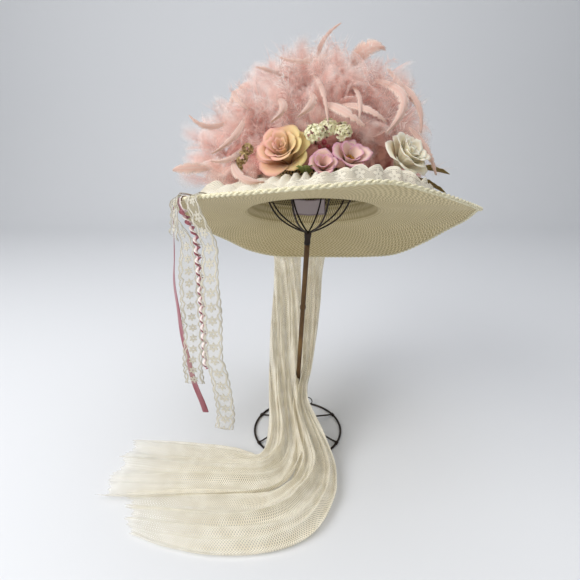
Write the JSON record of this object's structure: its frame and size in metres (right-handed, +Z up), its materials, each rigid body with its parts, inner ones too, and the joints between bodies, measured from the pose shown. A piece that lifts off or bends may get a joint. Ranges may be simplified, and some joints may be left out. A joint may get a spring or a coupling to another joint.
{
  "type": "wide-brim hat on a wire stand",
  "caption": "Straw wide-brim hat trimmed with a feather boa, cloth flowers, lace, ribbons and a long net scarf, tilted on a slim wire hat stand.",
  "frame": {"origin": "under the middle of the whole object, on the surface that the stand rests on", "axes": "+Z up, +X to the right of the picture, +Y away from the viewer"},
  "size_m": [0.5106, 0.4248, 0.6317],
  "materials": {
    "straw": "matte woven straw",
    "braid": "matte twisted cord",
    "label_cloth": "satin",
    "petal_peach": "soft matte",
    "petal_white": "soft matte",
    "petal_pink": "soft matte",
    "filler_cream": "soft matte",
    "leaf_green": "satin",
    "leaf_brown": "satin",
    "net_cream": "fine translucent net",
    "feather_pink": "downy",
    "lace_white": "matte lace",
    "satin_rose": "satin",
    "wire_black": "satin",
    "post_bronze": "satin"
  },
  "bodies": {
    "root": {"crown": "straw", "brim": "straw", "brim_edge_braid": "braid", "label": "label_cloth", "peach_rose": "petal_peach", "white_rose": "petal_white", "pink_lisianthus_1": "petal_pink", "pink_lisianthus_2": "petal_pink", "filler_flower_1": "filler_cream", "filler_flower_2": "filler_cream", "filler_flower_3": "filler_cream", "green_leaf": "leaf_green", "brown_leaf_1": "leaf_brown", "brown_leaf_2": "leaf_brown", "net_scarf_band": "net_cream", "feather_boa": "feather_pink", "lace_ruffle": "lace_white", "satin_ribbon": "satin_rose", "lace_ribbon_1": "lace_white", "twisted_ribbon": "satin_rose", "lace_ribbon_2": "lace_white", "lace_panel": "lace_white", "net_scarf_tail_left": "net_cream", "net_scarf_tail_right": "net_cream", "stand_base": "wire_black", "stand_post": "post_bronze", "stand_cage": "wire_black"}
  },
  "joints": []
}
